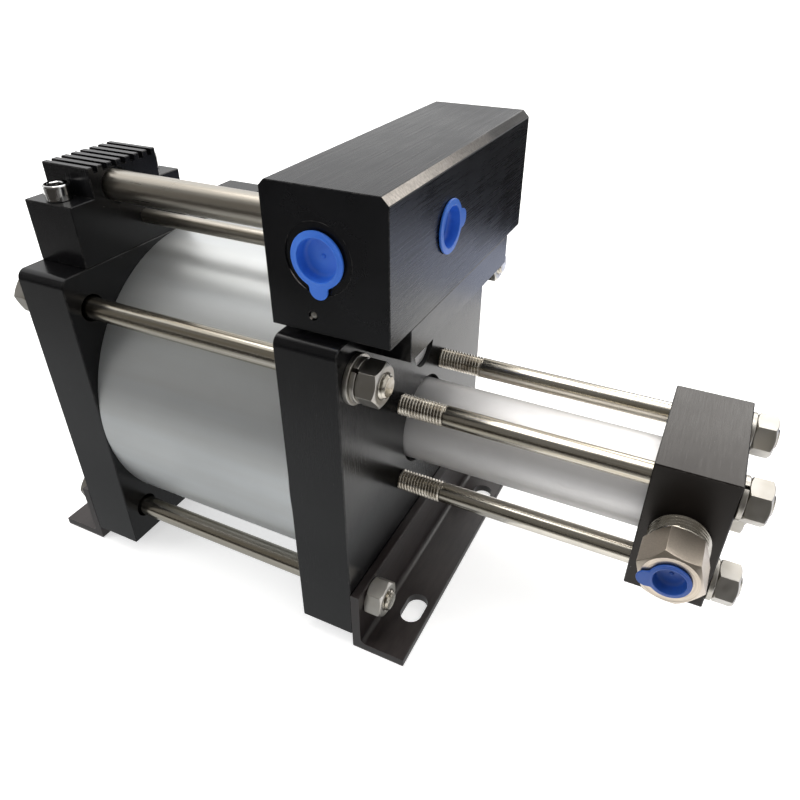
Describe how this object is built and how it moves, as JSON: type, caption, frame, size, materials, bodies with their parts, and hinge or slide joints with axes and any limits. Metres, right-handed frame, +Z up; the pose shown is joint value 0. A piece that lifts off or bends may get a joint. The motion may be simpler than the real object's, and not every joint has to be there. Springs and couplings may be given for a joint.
{
  "type": "air pressure booster",
  "caption": "Air-driven gas booster: square-plate drive cylinder with valve block, and a small gas barrel with end block held on four studs.",
  "frame": {"origin": "midpoint between the two slots of the front foot bracket, on the underside of the feet", "axes": "+X from the air drive cylinder towards the gas end block, +Y away from the side with the air inlet port, +Z up"},
  "size_m": [0.4008, 0.1858, 0.255],
  "materials": {
    "black_anodised": "satin",
    "clear_anodised": "satin",
    "stainless": "brushed",
    "bright_steel": "polished",
    "rubber": "matte",
    "bronze": "machined",
    "piston_aluminium": "machined",
    "bearing_plastic": "matte",
    "blue_plastic": "satin",
    "spring_steel": "drawn"
  },
  "bodies": {
    "housing": {"adapter_block": "black_anodised", "adapter_screws": "bright_steel", "air_tube": "stainless", "ball_plug": "bright_steel", "barrel_o_rings": "rubber", "drive_barrel": "clear_anodised", "end_cap_screws": "bright_steel", "fitting_gaskets": "bronze", "front_foot_bracket": "black_anodised", "front_pilot_cap": "clear_anodised", "front_pilot_spring": "spring_steel", "front_plate": "black_anodised", "gas_barrel": "clear_anodised", "gas_barrel_seals": "rubber", "gas_end_block": "black_anodised", "gas_stud_lock_washers": "stainless", "gas_stud_nuts": "stainless", "gas_studs": "stainless", "inlet_fitting": "stainless", "inlet_spring": "spring_steel", "outlet_fitting": "stainless", "outlet_spring": "spring_steel", "pilot_tube": "stainless", "rear_block": "black_anodised", "rear_block_screws": "bright_steel", "rear_foot_bracket": "black_anodised", "rear_pilot_cap": "clear_anodised", "rear_pilot_spring": "spring_steel", "rear_plate": "black_anodised", "rod_bush": "bronze", "rod_seal": "rubber", "sleeve_o_rings": "rubber", "spool_end_cap": "black_anodised", "spool_sleeve": "stainless", "tie_rod_lock_washers": "stainless", "tie_rod_nuts": "stainless", "tie_rod_washers": "stainless", "tie_rods": "stainless", "valve_block": "black_anodised", "valve_block_screws": "bright_steel"},
    "piston": {"air_piston": "piston_aluminium", "piston_seal": "rubber", "piston_wear_band": "bearing_plastic", "piston_washer": "bright_steel", "piston_nut": "bright_steel", "plunger_rod": "bright_steel", "plunger_head": "bright_steel", "plunger_seals": "bearing_plastic"},
    "spool": {"spool": "stainless"},
    "front_pin": {"front_pilot_pin": "stainless"},
    "rear_pin": {"rear_pilot_pin": "stainless"},
    "inlet_valve": {"inlet_poppet": "stainless"},
    "outlet_valve": {"outlet_poppet": "stainless"},
    "air_plug": {"air_inlet_plug": "blue_plastic"},
    "exhaust_cap": {"exhaust_plug": "blue_plastic"},
    "gas_inlet_cap": {"gas_inlet_plug": "blue_plastic"},
    "gas_outlet_cap": {"gas_outlet_plug": "blue_plastic"}
  },
  "joints": [
    {"name": "piston_stroke", "type": "slide", "parent": "housing", "child": "piston", "axis": [1, 0, 0], "range_m": [0, 0.0804]},
    {"name": "spool_shift", "type": "slide", "parent": "housing", "child": "spool", "axis": [0, 1, 0], "range_m": [0, 0.008]},
    {"name": "front_pin_push", "type": "slide", "parent": "housing", "child": "front_pin", "axis": [1, 0, 0], "range_m": [0, 0.0042], "stiffness_N_per_m": 3000, "springref_m": -0.002, "deforming": ["front_pilot_spring"]},
    {"name": "rear_pin_push", "type": "slide", "parent": "housing", "child": "rear_pin", "axis": [-1, 0, 0], "range_m": [0, 0.0042], "stiffness_N_per_m": 3000, "springref_m": -0.002, "deforming": ["rear_pilot_spring"]},
    {"name": "inlet_valve_lift", "type": "slide", "parent": "housing", "child": "inlet_valve", "axis": [0, 1, 0], "range_m": [0, 0.002], "stiffness_N_per_m": 800, "springref_m": -0.001, "deforming": ["inlet_spring"]},
    {"name": "outlet_valve_lift", "type": "slide", "parent": "housing", "child": "outlet_valve", "axis": [0, 1, 0], "range_m": [0, 0.002], "stiffness_N_per_m": 800, "springref_m": -0.001, "deforming": ["outlet_spring"]},
    {"name": "air_plug_pull", "type": "slide", "parent": "housing", "child": "air_plug", "axis": [0, -1, 0], "range_m": [0, 0.03]},
    {"name": "exhaust_plug_pull", "type": "slide", "parent": "housing", "child": "exhaust_cap", "axis": [1, 0, 0], "range_m": [0, 0.03]},
    {"name": "gas_inlet_plug_pull", "type": "slide", "parent": "housing", "child": "gas_inlet_cap", "axis": [0, -1, 0], "range_m": [0, 0.03]},
    {"name": "gas_outlet_plug_pull", "type": "slide", "parent": "housing", "child": "gas_outlet_cap", "axis": [0, 1, 0], "range_m": [0, 0.03]}
  ]
}
